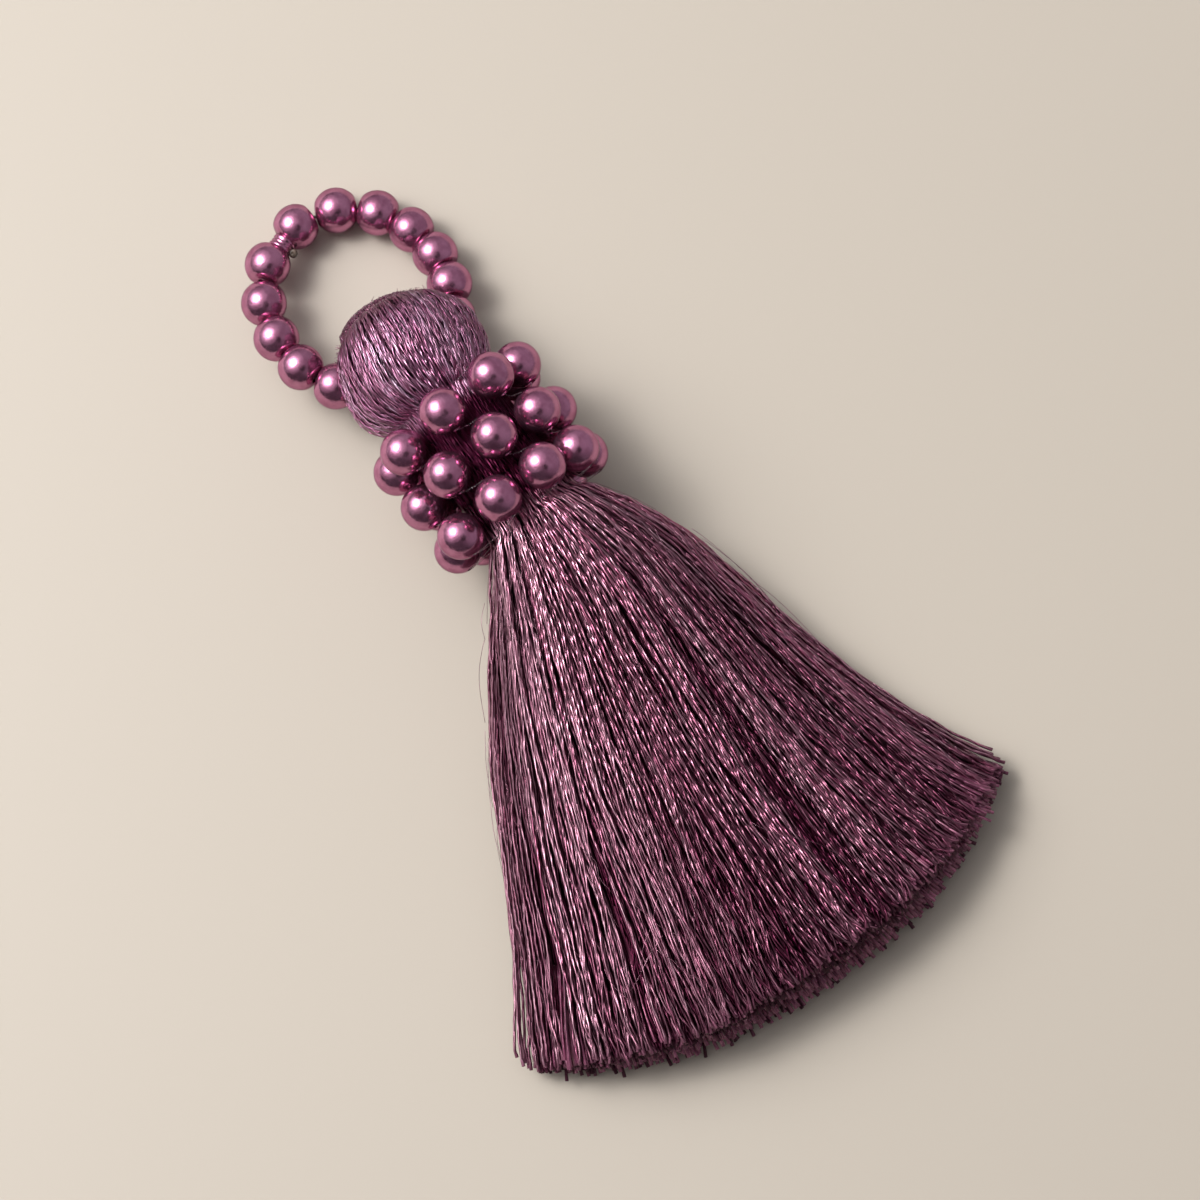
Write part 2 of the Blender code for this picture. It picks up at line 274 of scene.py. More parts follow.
LINE_TINTS = ((0.96, 0.94, 0.95, 1.0), (0.86, 0.80, 0.84, 1.0))
LINE_RADIUS = 0.035
LINE_SIDES = 8
LINE_STEPS = 24
# The line: where it leaves a bead's bore, how far it dips on its way to the next bead, how far back
# from the collar's edges its loops lie, and the angle that it spans round the collar at most.
LINE_EXIT = (1.3, 1.95)
LINE_DIP = 0.5
LINE_EDGE_DIP = 2.3
LINE_EDGE_BACK = 0.2
LINE_REACH = 0.62
COLLAR_AXIS_HEIGHT = 8.95

random = np.random.default_rng(41)


# ---- camera, floor and light


def linked(name, data):
    """A new object in the scene."""
    obj = bpy.data.objects.new(name, data)
    bpy.context.scene.collection.objects.link(obj)
    return obj


def camera_axes():
    """Right, up and back of the camera, as unit vectors."""
    a, e = CAMERA_AZIMUTH, CAMERA_ELEVATION
    right = Vector((math.cos(a), math.sin(a), 0))
    back = Vector((math.sin(a) * math.cos(e), -math.cos(a) * math.cos(e), math.sin(e)))
    return right, back.cross(right), back


def camera_direction(rightward, upward, backward):
    """The unit vector with these parts along the camera's axes."""
    right, up, back = camera_axes()
    return (rightward * right + upward * up + backward * back).normalized()


def add_camera():
    right, up, back = camera_axes()
    data = bpy.data.cameras.new("camera")
    data.sensor_width = SENSOR_WIDTH
    data.lens = SENSOR_WIDTH * CAMERA_DISTANCE / FRAME_WIDTH
    data.clip_start, data.clip_end = CAMERA_NEAR * MM, CAMERA_FAR * MM
    camera = linked("camera", data)
    place = Vector(CAMERA_TARGET) * MM + back * (CAMERA_DISTANCE * MM)
    turn = Matrix((right, up, back)).transposed().to_4x4()
    camera.matrix_world = Matrix.Translation(place) @ turn
    bpy.context.scene.camera = camera


def add_floor():
    """A plain pale floor."""
    size = FLOOR_HALF_SIZE * MM
    corners = [(-size, -size, 0), (size, -size, 0), (size, size, 0), (-size, size, 0)]
    mesh = bpy.data.meshes.new("floor")
    mesh.from_pydata(corners, [], [(0, 1, 2, 3)])
    n = Nodes("floor")
    n.set(Base_Color=FLOOR_COLOUR, Roughness=FLOOR_ROUGHNESS)
    mesh.materials.append(n.material)
    floor = linked("floor", mesh)


def smooth_range(tree, value, low, high, start=0.0, end=1.0):
    """A node output with the value from low..high mapped smoothly to start..end."""
    node = tree.nodes.new("ShaderNodeMapRange")
    node.interpolation_type = "SMOOTHSTEP"
    tree.links.new(value, node.inputs["Value"])
    limits = {"From Min": low, "From Max": high, "To Min": start, "To Max": end}
    for name, limit in limits.items():
        node.inputs[name].default_value = limit
    return node.outputs[0]


def room_share(tree, direction, limits):
    """A share of the room's light that changes with the angle to a direction."""
    place = tree.nodes.new("ShaderNodeTexCoord")
    cosine = tree.nodes.new("ShaderNodeVectorMath")
    cosine.operation = "DOT_PRODUCT"
    cosine.inputs[1].default_value = camera_direction(*direction)
    tree.links.new(place.outputs["Generated"], cosine.inputs[0])
    return smooth_range(tree, cosine.outputs["Value"], *limits)


def add_room():
    """A dim room, brighter on one side."""
    world = bpy.data.worlds.new("room")
    world.use_nodes = True
    tree = world.node_tree
    background = tree.nodes["Background"]
    background.inputs["Color"].default_value = ROOM_COLOUR
    strength = tree.nodes.new("ShaderNodeMath")
    strength.operation = "MULTIPLY"
    tree.links.new(room_share(tree, ROOM_BRIGHT_SIDE, ROOM_BRIGHT_RANGE), strength.inputs[0])
    tree.links.new(room_share(tree, ROOM_DARK_PATCH, ROOM_DARK_RANGE), strength.inputs[1])
    tree.links.new(strength.outputs[0], background.inputs["Strength"])
    bpy.context.scene.world = world
    bpy.context.scene.view_settings.view_transform = "Standard"


def add_key_light():
    """Round soft lights that face the tassel and together make one soft window."""
    for number, (radius, radiance) in enumerate(KEY_DISCS, 1):
        direction = KEY_DIRECTION if radius < GLOW_FROM_RADIUS else GLOW_DIRECTION
        towards = camera_direction(*direction)
        data = bpy.data.lights.new(f"key_{number}", "AREA")
        data.shape = "DISK"
        data.size = 2 * radius * MM
        data.energy = radiance * math.pi * math.pi * (radius * MM) ** 2
        data.color = KEY_COLOUR
        light = linked(f"key_{number}", data)
        place = Vector(CAMERA_TARGET) * MM + towards * (KEY_DISTANCE * MM)
        turn = towards.to_track_quat("Z", "Y").to_matrix().to_4x4()
        light.matrix_world = Matrix.Translation(place) @ turn


# ---- materials


class Nodes:
    """A material's node tree with short ways to add and link nodes."""

    def __init__(self, name):
        self.material = bpy.data.materials.new(name)
        self.material.use_nodes = True
        self.tree = self.material.node_tree
        self.shader = self.tree.nodes["Principled BSDF"]

    def add(self, kind, *values, **settings):
        """A new node with these values or outputs as its first inputs."""
        node = self.tree.nodes.new(kind)
        for name, value in settings.items():
            setattr(node, name, value)
        for socket, value in zip(node.inputs, values):
            self.feed(socket, value)
        return node

    def feed(self, socket, value):
        if hasattr(value, "is_output"):
            self.tree.links.new(value, socket)
        else:
            socket.default_value = value

    def attribute(self, name, output="Fac"):
        return self.add("ShaderNodeAttribute", attribute_name=name).outputs[output]

    def where(self):
        """The place on the object, in metres."""
        return self.add("ShaderNodeTexCoord").outputs["Object"]

    def math(self, operation, *values):
        return self.add("ShaderNodeMath", *values, operation=operation).outputs[0]

    def vector(self, x, y):
        return self.add("ShaderNodeCombineXYZ", x, y).outputs[0]

    def mix(self, share, first, second):
        node = self.add("ShaderNodeMix", data_type="RGBA")
        self.feed(node.inputs["Factor"], share)
        colours = [s for s in node.inputs if s.type == "RGBA"]
        self.feed(colours[0], first)
        self.feed(colours[1], second)
        return next(s for s in node.outputs if s.type == "RGBA")

    def noise(self, vector, scale, detail=2.0):
        node = self.add("ShaderNodeTexNoise")
        self.feed(node.inputs["Vector"], vector)
        node.inputs["Scale"].default_value = scale
        node.inputs["Detail"].default_value = detail
        return node.outputs["Fac"]

    def bump(self, height, distance):
        node = self.add("ShaderNodeBump")
        self.feed(node.inputs["Height"], height)
        node.inputs["Distance"].default_value = distance * MM
        node.inputs["Strength"].default_value = 1.0
        for socket in ("Normal", "Coat Normal"):
            self.tree.links.new(node.outputs["Normal"], self.shader.inputs[socket])

    def set(self, **values):
        for name, value in values.items():
            self.feed(self.shader.inputs[name.replace("_", " ")], value)


def silk_material(name, tones):
    """Two-ply silk: satin crests, painted shade on sides and ply grooves, and each thread's tone.
    """
    n = Nodes(name)
    tone = n.attribute("tone")
    cut = n.attribute("cut")
    shade = n.attribute("shade")

    # A ply's crest is where the way out of the thread matches how far the twist has turned. The
    # corner attribute and the turn are doubled for the two plies. The crest stays just above 0.
    twist = n.math("MULTIPLY", n.attribute("turn"), 2.0)
    ahead = n.vector(n.math("COSINE", twist), n.math("SINE", twist))
    corner = n.attribute("corner", "Vector")
    around = n.add("ShaderNodeVectorMath", corner, operation="NORMALIZE").outputs["Vector"]
    match = n.add("ShaderNodeVectorMath", around, ahead, operation="DOT_PRODUCT").outputs["Value"]
    crest = n.math("SQRT", n.math("MULTIPLY_ADD", match, 0.498, 0.502))

    along_thread = n.vector(n.math("MULTIPLY", tone, TONE_SPACING), n.attribute("along"))
    uneven = smooth_range(n.tree, n.noise(along_thread, UNEVEN_SCALE), 0.35, 0.65)
    silk = n.mix(tone, *tones)
    silk = n.mix(n.math("MULTIPLY", uneven, UNEVEN_SHARE), silk, UNEVEN_COLOUR)
    # Painted shade in the grooves between the plies, away from their crests.
    silk = n.mix(smooth_range(n.tree, crest, *GROOVE_SHADE_RANGE), silk, GAP_SHADE_COLOUR)
    # Painted shade on each thread's sides, where its neighbours would shade it.
    silk = n.mix(n.math("MULTIPLY", n.attribute("side"), SIDE_SHADE_SHARE), silk, GAP_SHADE_COLOUR)
    silk = n.mix(n.math("MULTIPLY", cut, CUT_SHARE), silk, CUT_COLOUR)
    n.set(Base_Color=n.mix(shade, silk, SHADE_COLOUR))
    n.set(Metallic=n.math("MULTIPLY_ADD", cut, -CUT_METAL_LOSS, SILK_METAL))
    n.set(Roughness=n.math("MULTIPLY_ADD", cut, CUT_ROUGHER, SILK_ROUGHNESS))
    n.set(Anisotropic=SILK_GRAIN, Tangent=n.attribute("grain", "Vector"))
    # Where painted shade darkens the silk, it also takes away the coat's gloss.
    n.set(Coat_Weight=n.math("MULTIPLY_ADD", shade, -SILK_COAT, SILK_COAT))
    n.set(Coat_Roughness=SILK_COAT_ROUGHNESS, Coat_IOR=COAT_IOR)

    across = n.add("ShaderNodeSeparateXYZ", n.where()).outputs[0]
    relief = smooth_range(n.tree, across, *PLY_RELIEF_RANGE)
    n.bump(n.math("MULTIPLY", crest, relief), PLY_DEPTH)
    return n.material


def bead_material():
    """Mirror-bright plum coating with a faint mottle and fine scuffs."""
    n = Nodes("plum_coating")
    where = n.where()
    mottle = n.noise(where, scale=1100.0, detail=5.0)
    scuff = n.noise(where, scale=3800.0, detail=4.0)
    n.set(Base_Color=n.mix(smooth_range(n.tree, mottle, 0.35, 0.70), *BEAD_TINTS))
    n.set(Metallic=0.94, Specular_Tint=BEAD_EDGE_TINT)
    n.set(Coat_Weight=0.6, Coat_Roughness=0.25, Coat_IOR=COAT_IOR)
    n.set(Roughness=smooth_range(n.tree, scuff, 0.35, 0.70, start=0.12, end=0.26))
    n.bump(n.math("ADD", mottle, scuff), BEAD_RELIEF)
    return n.material


def cord_material():
    """Dark olive-brown cord with fine streaks."""
    n = Nodes("dark_cord")
    n.set(Base_Color=n.mix(n.noise(n.where(), scale=3000.0), *CORD_TINTS), Roughness=0.35)
    return n.material


def line_material():
    """Clear nylon line."""
    n = Nodes("clear_line")
    haze = n.noise(n.where(), scale=2500.0)
    n.set(Base_Color=n.mix(haze, *LINE_TINTS))
    n.set(Roughness=smooth_range(n.tree, haze, 0.3, 0.7, start=0.05, end=0.16))
    n.set(Transmission_Weight=0.95, IOR=1.45)
    return n.material


# ---- meshes


def smoothstep(value, low, high):
    share = np.clip((value - low) / (high - low), 0.0, 1.0)
    return share * share * (3 - 2 * share)


def unit(vectors):
    return vectors / np.linalg.norm(vectors, axis=1)[:, None]


def curve(before, start, end, after, t):
    """A Catmull-Rom curve from start to end."""
    return (
        start
        + 0.5 * (end - before) * t
        + 0.5 * (2 * before - 5 * start + 4 * end - after) * t**2
        + 0.5 * (3 * start - before - 3 * end + after) * t**3
    )


def ring_points(path, radius, first_side, second_side, sides):
    """A ring of points round each point of a path, from its first side towards its second."""
    turn = 2 * math.pi * np.arange(sides) / sides
    away = (
        np.cos(turn)[:, None] * first_side[:, None] + np.sin(turn)[:, None] * second_side[:, None]
    )
    return (path[:, None] + radius[:, None, None] * away).reshape(-1, 3)


def ring_quads(first, rings, sides):
    """The faces between rings of points that follow each other, counted from the first point."""
    ring = first + sides * np.arange(rings - 1)[:, None]
    k = np.arange(sides)[None, :]
    after = (k + 1) % sides
    corners = [ring + k, ring + after, ring + sides + after, ring + sides + k]
    return np.stack(corners, axis=-1).reshape(-1, 4)


def mesh_from_arrays(name, points, quads, triangles, finish, attributes, bake_map=None):
    """A smooth mesh object from millimetre points, with point attributes and a bake map."""
    mesh = bpy.data.meshes.new(name)
    mesh.vertices.add(len(points))
    mesh.vertices.foreach_set("co", (points * MM).astype(np.float32).ravel())
    corners = np.concatenate([quads.ravel(), triangles.ravel()])
    mesh.loops.add(len(corners))
    mesh.loops.foreach_set("vertex_index", corners.astype(np.int32))
    sizes = np.concatenate([np.full(len(quads), 4), np.full(len(triangles), 3)])
    starts = np.concatenate([[0], np.cumsum(sizes)[:-1]])
    mesh.polygons.add(len(sizes))
    mesh.polygons.foreach_set("loop_start", starts.astype(np.int32))
    mesh.polygons.foreach_set("use_smooth", np.ones(len(sizes), bool))
    mesh.update(calc_edges=True)
    if bake_map is not None:
        layer = mesh.uv_layers.new(name=BAKE_MAP)
        layer.data.foreach_set("uv", bake_map.astype(np.float32).ravel())
    for key, values in attributes.items():
        kind, field = ("FLOAT", "value") if values.ndim == 1 else ("FLOAT_VECTOR", "vector")
        layer = mesh.attributes.new(key, kind, "POINT")
        layer.data.foreach_set(field, values.astype(np.float32).ravel())
    mesh.materials.append(finish)
    return linked(name, mesh)


def plain_mesh(name, points, quads, finish):
    """A smooth mesh object from lists of points and four-sided faces."""
    points, quads = np.concatenate(points), np.concatenate(quads)
    return mesh_from_arrays(name, points, quads, np.zeros((0, 3), int), finish, {})


def path_length(path):
    return float(np.linalg.norm(np.diff(path[:, :3], axis=0), axis=1).sum())


def resampled(path, step, length, coarse_from=None):
    """The path's rows at equal steps up to this length, and how far along the path each is.

    From the length coarse_from on, the steps are coarse ones.
    """
    gaps = np.linalg.norm(np.diff(path[:, :3], axis=0), axis=1)
    along = np.concatenate([[0.0], np.cumsum(gaps)])
    length = min(length, along[-1])
    fine_length = length if coarse_from is None else min(coarse_from, length)
    places = np.linspace(0.0, fine_length, max(3, round(fine_length / step) + 1))
    if fine_length < length:
        rest = length - fine_length
        coarse = fine_length + np.linspace(0.0, rest, round(rest / COARSE_STEP) + 1)[1:]
        places = np.append(places, coarse)
    return np.stack([np.interp(places, along, column) for column in path.T], axis=1), places


class ThreadBundle:
    """Collects threads and joins them into one mesh, each with its own strip of the bake map."""

    STRIP_EDGE = 0.05
    # The map starts this far before the threads do, and is this much longer than the longest.
    MAP_START = 3.0
    MAP_EXTRA = 5.0

    def __init__(self):
        self.points = []
        self.quads = []
        self.triangles = []
        self.quad_map = []
        self.triangle_map = []
        names = ("tone", "turn", "side", "along", "cut", "shade", "corner", "grain")
        self.attributes = {name: [] for name in names}
        self.count = 0
        self.threads = 0
        self.longest = 0.0

    def add(
        self, rows, places, tone, sides=THREAD_SIDES, pitch=TWIST_PITCH,
        cut=(0.0, 1.0), fade=CUT_FADE, width=THREAD_WIDTH,
    ):
        """One thread along rows of a point, the way out of the hank and a shade.

        cut says how far its start and end are cut ends, and fade how far in that goes.
        """
        steps = len(rows)
        path, outward, shade = rows[:, :3], rows[:, 3:6], rows[:, 6]
        forward = unit(np.gradient(path, axis=0))
        crest = unit(outward - (outward * forward).sum(axis=1)[:, None] * forward)
        turned = 2 * math.pi * (places / random.uniform(*PITCH_SPREAD) / pitch + random.uniform())
        turned += wave(places, 14.0, 4.0) * TWIST_WANDER
        corner = 2 * math.pi * np.arange(sides) / sides
        ends = cut[0] * np.exp(-places / fade) + cut[1] * np.exp(-(places[-1] - places) / fade)
        radius = width / 2 * (1 + CUT_FLARE * ends)
        self.points.append(ring_points(path, radius, crest, np.cross(forward, crest), sides))

        self.quads.append(ring_quads(self.count, steps, sides))
        self.quad_map.append(self.side_map(places, sides))
        fan = np.arange(1, sides - 1)
        hub = 0 * fan
        for first, order, end in (
            (self.count, (hub, fan + 1, fan), -2.0),
            (self.count + sides * (steps - 1), (hub, fan, fan + 1), places[-1] + 1.0),
        ):
            cap = np.stack(order, axis=-1)
            self.triangles.append(first + cap)
            across_cap = self.threads + 0.5 + 0.4 * np.sin(corner)[cap]
            cap_map = np.stack([end + 0.5 * np.cos(corner)[cap], across_cap], axis=-1)
            self.triangle_map.append(cap_map)

        # Painted shade on the thread's sides: none at its crest corner, most underneath.
        side = np.tile(np.clip((1 - np.cos(corner)) ** 2, 0.0, 1.0), steps)
        ply_corner = np.stack([np.cos(2 * corner), np.sin(2 * corner), 0 * corner], axis=-1)
        for name, values in (
            ("tone", np.full(steps * sides, tone)),
            ("turn", np.repeat(turned, sides)),
            ("side", side),
            ("along", np.repeat(places, sides)),
            ("cut", np.repeat(ends, sides)),
            ("shade", np.repeat(np.maximum(under_collar(path), shade), sides)),
            ("corner", np.tile(ply_corner, (steps, 1))),
            ("grain", np.repeat(forward, sides, axis=0)),
        ):
            self.attributes[name].append(values)
        self.count += steps * sides
        self.threads += 1
        self.longest = max(self.longest, places[-1])

    def side_map(self, places, sides):
        """Where the faces along the next thread lie in its strip of the bake map."""
        k = np.arange(sides)[None, :]
        near, far = places[:-1, None] + 0 * k, places[1:, None] + 0 * k
        low = self.threads + self.STRIP_EDGE + (1 - 2 * self.STRIP_EDGE) * k / sides + 0 * near
        high = low + (1 - 2 * self.STRIP_EDGE) / sides
        corners = [(near, low), (near, high), (far, high), (far, low)]
        return np.stack([np.stack(c, axis=-1) for c in corners], axis=2).reshape(-1, 4, 2)

    def mesh(self, name, finish):
        bake_map = np.concatenate([m.reshape(-1, 2) for m in self.quad_map + self.triangle_map])
        size = (self.longest + self.MAP_EXTRA, self.threads)
        bake_map = (bake_map + (self.MAP_START, 0.0)) / size
        attributes = {key: np.concatenate(values) for key, values in self.attributes.items()}
        points, quads, triangles = map(np.concatenate, (self.points, self.quads, self.triangles))
        return mesh_from_arrays(name, points, quads, triangles, finish, attributes, bake_map)


# ---- the hank


def section_values(place):
    """The columns of the section table at places between its rows, on a smooth curve."""
    place = np.clip(np.asarray(place, float), 0.0, END_SECTION)
    index = np.minimum(place.astype(int), END_SECTION - 1)
    t = (place - index)[..., None]
    return curve(*(HANK_SECTIONS[np.clip(index + k, 0, END_SECTION)] for k in (-1, 0, 1, 2)), t)


def hank_points(place, angle, depth):
    """Points in the hank: at a section, an angle from its right end and a depth under its skin."""
    columns = np.moveaxis(section_values(place), -1, 0)
    left_x, left_y, right_x, right_y, bow, top, edge, bottom, lag = columns
    half_width = (right_x - left_x) / 2
    over = np.sin(angle) >= 0
    half_height = np.where(over, top - edge, edge - bottom)
    normal_across = np.cos(angle) / half_width
    normal_rise = np.sin(angle) / half_height
    size = np.hypot(normal_across, normal_rise)
    across = np.cos(angle) - depth * normal_across / size / half_width
    rise = np.sin(angle) - depth * normal_rise / size / half_height
    share = 0.5 + 0.5 * across
    x = left_x + (right_x - left_x) * share + HANK_CENTRE[0]
    y = left_y + (right_y - left_y) * share + HANK_CENTRE[1]
    lag = lag * (LEFT_LAG + (1 - LEFT_LAG) * share)
    bowed = bow * (1 - np.minimum(np.abs(across), 1.5) ** HANK_BOW_POWER)
    y = y + bowed + np.where(over, lag * rise, 0.0)
    z = np.maximum(edge + half_height * rise, np.maximum(depth, THREAD_RADIUS))
    return np.stack([x, y, z], axis=-1)


def hank_rows(place, angle, depth, shade):
    """Path rows in the hank: a point, the way out of the hank there, and a shade."""
    points = hank_points(place, angle, depth)
    outward = unit(points - hank_points(place, angle, depth + 0.4))
    # Tilted up, strongly on the top, which turns the painted side shade of the threads downwards.
    outward[:, 2] += np.where(np.sin(angle) > 0, 0.5, 0.01)
    return np.concatenate([points, outward, (shade + 0.0 * place)[:, None]], axis=1)


def even_angles(place, count, first, last):
    """Angles that stand evenly round the section, with a little disorder."""
    angle = np.linspace(first, last, 2000)
    loop = hank_points(np.full(angle.shape, float(place)), angle, np.zeros(angle.shape))
    along = np.concatenate([[0.0], np.cumsum(np.linalg.norm(np.diff(loop, axis=0), axis=1))])
    spots = (np.arange(count) + random.uniform(-0.5, 1.5, count)) / count * along[-1]
    return np.interp(spots, along, angle)


def wave(places, longest, shortest):
    """A smooth random wave of about unit size along the places."""
    total = np.zeros(len(places))
    for _ in range(WAVES):
        length, start = random.uniform(shortest, longest), random.uniform()
        total += np.sin(2 * math.pi * (places / length + start))
    return total / WAVES


def under_collar(path):
    """How deep in the collar's shade each point is, from 0 to 1."""
    from_middle = np.abs(path[:, 1] - HANK_CENTRE[1] - COLLAR_SHADE_MIDDLE)
    return COLLAR_SHADE * (1 - smoothstep(from_middle, *COLLAR_SHADE_ENDS))


class Flow:
    """A smooth drift from -1 to 1 that neighbouring threads share, by angle and share of length."""

    def __init__(self, waves, slowest, fastest):
        self.waves = [
            (random.uniform(slowest, fastest), random.uniform(-1.2, 1.2), random.uniform(0, 6.3))
            for _ in range(waves)
        ]

    def __call__(self, angle, share):
        total = sum(
            np.sin(per_angle * angle + 6.3 * per_share * share + start)
            for per_angle, per_share, start in self.waves
        )
        return total / len(self.waves)


def hollows(across):
    """How deep the channels are at places across the skirt, and how far they push threads aside."""
    depth = np.zeros(np.shape(across))
    push = np.zeros(np.shape(across))
    for place, deep, width in SKIRT_HOLLOWS:
        away = (across - place) / width
        depth += deep * np.exp(-away * away)
        push += HOLLOW_PUSH * width * away * np.exp(-away * away)
    return depth, push


def past_the_end(rows, back, lengths):
    """Rows at these distances straight on past the last, as it lies from the one at -back."""
    ahead = rows[-1] - rows[-back]
    ahead[3:] = 0.0
    return rows[-1] + ahead / np.linalg.norm(ahead) * np.array(lengths)[:, None]


def skirt_path(angle, start_depth, end_depth, pull_to, pull, start, flows, stray):
    """A thread's rows from the section where it surfaces to past the cut end.

    pull draws it towards the angle pull_to, and stray is how far it leaves the skirt at its end.
    """
    place = np.linspace(start, END_SECTION, SKIRT_STEPS)
    share = (place - NECK_SECTION) / (END_SECTION - NECK_SECTION)
    far = share * SKIRT_LENGTH
    drift, clump, gather = (flow(angle, share) for flow in flows)
    open_out = smoothstep(share, 0.02, 0.4)
    # The channels are on the top only, and 2 is past them all.
    across = np.cos(angle) if math.sin(angle) > 0 else 2.0
    dip, push = hollows(across * np.ones(len(place)))
    down_skirt = (place - SKIRT_FIRST_SECTION) / (END_SECTION - SKIRT_FIRST_SECTION)
    channel = smoothstep(down_skirt, 0.0, 0.33)

    depth = end_depth + (start_depth - end_depth) * (1 - smoothstep(place, start, start + 2.5))
    depth = depth - stray * smoothstep(share, 0.6, 1.0)
    depth = depth + CLUMP_DEPTH * (clump + 0.3) * open_out
    # The channels' dip adds painted shade as well as depth.
    seen_from = (depth + 0.25 * dip * channel - 0.16) / (1.25 - 0.5 * share)
    softer = 1 - SIDE_SOFTENING * float(smoothstep(math.cos(angle), 0.2, 0.9))
    shade = DEPTH_SHADE * softer * smoothstep(seen_from, 0.0, 1.0)
    shade = shade + (1 - shade) * END_SHADE * smoothstep(share, 0.15, 0.9)
    depth = np.maximum(depth + HOLLOW_DEPTH * dip * channel, THREAD_RADIUS - 0.15 - stray)

    sideways = drift * SHARED_DRIFT * smoothstep(share, 0.05, 0.5)
    sideways += gather * CLUMP_DRIFT * open_out
    sideways += wave(far, 45.0, 10.0) * OWN_DRIFT * smoothstep(share, 0.02, 0.5)
    sideways += (pull_to - angle) * pull * smoothstep(share, 0.1, 0.9)
    sideways -= push * channel / max(abs(math.sin(angle)), 0.3)
    rows = hank_rows(place, angle + sideways, depth, shade)
    rows[:, 0] += wave(far, 9.0, 3.0) * SKIRT_WAVER[0]
    rows[:, 2] += wave(far, 8.0, 3.0) * SKIRT_WAVER[1]
    rows[:, 2] = np.maximum(rows[:, 2], THREAD_RADIUS)
    return np.concatenate([rows, past_the_end(rows, 4, PAST_CUT)])


def skirt_pieces():
    """The skirt's threads: fine ones where they show, plainer ones under them."""
    fine_bundles = [ThreadBundle() for _ in range(FINE_PIECES)]
    under = ThreadBundle()
    flows = (Flow(7, 3.0, 12.0), Flow(9, 14.0, 60.0), Flow(9, 14.0, 60.0))
    locks = even_angles(END_SECTION, LOCKS, 0.0, 2 * math.pi)
    strands = even_angles(END_SECTION, STRANDS, 0.0, 2 * math.pi)
    lock_lift = random.uniform(-LOCK_LIFT, LOCK_LIFT, len(locks))
    top_angles = even_angles(END_SECTION, FINE_THREADS, -TOP_OVERLAP, math.pi + TOP_OVERLAP)
    seen_end, rest_end = math.pi + SEEN_OVERLAP, 2 * math.pi - SEEN_OVERLAP
    low_angles = np.concatenate([
        even_angles(END_SECTION, PLAIN_THREADS, -SEEN_OVERLAP, seen_end),
        even_angles(END_SECTION, REST_THREADS, seen_end, rest_end),
    ])
    for fine, angles in ((True, top_angles), (False, low_angles)):
        order = random.permutation(len(angles)) if fine else np.arange(len(angles))
        for slot, index in enumerate(order):
            angle = angles[index]
            rank = random.uniform()
            start_depth = THREAD_RADIUS + SKIN_DEPTH
            end_depth = THREAD_RADIUS + SKIN_DEPTH * random.uniform()
            if fine:
                surfaces = (slot - NECK_THREADS) / (len(order) - NECK_THREADS)
                start = NECK_SECTION + (END_SECTION - NECK_SECTION - 2.0) * max(surfaces, 0.0)
                if surfaces < 0:
                    start_depth = end_depth
            else:
                start = NECK_SECTION + 1.4 * rank
                start_depth = end_depth + 1.4
                end_depth += 0.9 if 0.0 < angle < math.pi else 0.0
            lock = int(np.argmin(np.abs(locks - angle)))
            strand = strands[int(np.argmin(np.abs(strands - angle)))]
            pull_to = locks[lock] if random.uniform() < 0.5 else strand
            pull = random.uniform(0.05, 0.45)
            end_depth = max(end_depth - lock_lift[lock], THREAD_RADIUS)
            near_edge = min(abs(angle), abs(angle - math.pi)) < EDGE_ANGLE
            strays = near_edge and random.uniform() < EDGE_STRAY_SHARE
            stray = random.uniform(0.2, 0.6) if strays else 0.0
            rows = skirt_path(angle, start_depth, end_depth, pull_to, pull, start, flows, stray)
            uneven_cut = float(np.clip(random.normal(0.0, CUT_SPREAD), -0.7, 0.4))
            length = path_length(rows) - PAST_CUT[-1] + uneven_cut
            if random.uniform() < LONG_SHARE:
                length += random.uniform(0.2, 0.5)
            rows, places = resampled(rows, FINE_STEP if fine else COARSE_STEP, length)
            # Painted light: threads on the skirt's left get lighter tones and those on its right
            # darker ones.
            to_left = smoothstep(-math.cos(angle), 0.1, 0.9)
            to_right = smoothstep(math.cos(angle), 0.1, 0.9)
            painted_side_light = 0.35 * to_left - 0.15 * to_right
            tone = float(np.clip(random.normal(0.5, 0.25) + painted_side_light, 0.0, 1.0))
            bundle = fine_bundles[slot % FINE_PIECES] if fine else under
            bundle.add(rows, places, tone, sides=THREAD_SIDES if fine else PLAIN_SIDES)
    for angle, stray in SKIRT_STRAYS:
        start = NECK_SECTION + 3.0
        rows = skirt_path(angle, 0.5, THREAD_RADIUS, angle, 0.0, start, flows, stray)
        rows, places = resampled(rows, FINE_STEP, path_length(rows) - random.uniform(1.0, 2.4))
        fine_bundles[0].add(rows, places, random.uniform(0.4, 0.9))
    return fine_bundles, under


def add_fold_fibre(bundle):
    """One short curled fibre that stands off the fold of the head."""
    angle = random.uniform(0.03, math.pi - 0.03)
    place = random.uniform(0.0, 1.2)
    row = hank_rows(np.array([place]), np.array([angle]), np.array([0.1]), 0.1)[0]
    towards = row[3:6] / np.linalg.norm(row[3:6]) * 0.5 + (0.0, 0.75, 0.1)
    length = random.uniform(0.3, 1.0) * (1.6 if random.uniform() < 0.05 else 1.0)
    along = np.linspace(0.0, length, 12)
    curl = random.uniform(1.5, 4.5) * along / length + random.uniform(0.0, 6.3)
    across = random.normal(0.0, 1.0, 3) * (1.0, 0.4, 0.6)
    curled = np.sin(curl)[:, None] * across * FIBRE_CURL * length
    points = row[:3] + along[:, None] * towards * 0.45 + curled
    points -= np.sin(curl[0]) * across * FIBRE_CURL * length
    points[:, 2] = np.maximum(points[:, 2], FIBRE_WIDTH)
    outward_and_shade = np.tile((0.3, 0.2, 1.0, 0.1), (len(points), 1))
    rows = np.concatenate([points, outward_and_shade], axis=1)
    tone = random.uniform(0.2, 1.0)
    bundle.add(rows, along, tone, sides=FIBRE_SIDES, cut=(0.0, 0.0), width=FIBRE_WIDTH)


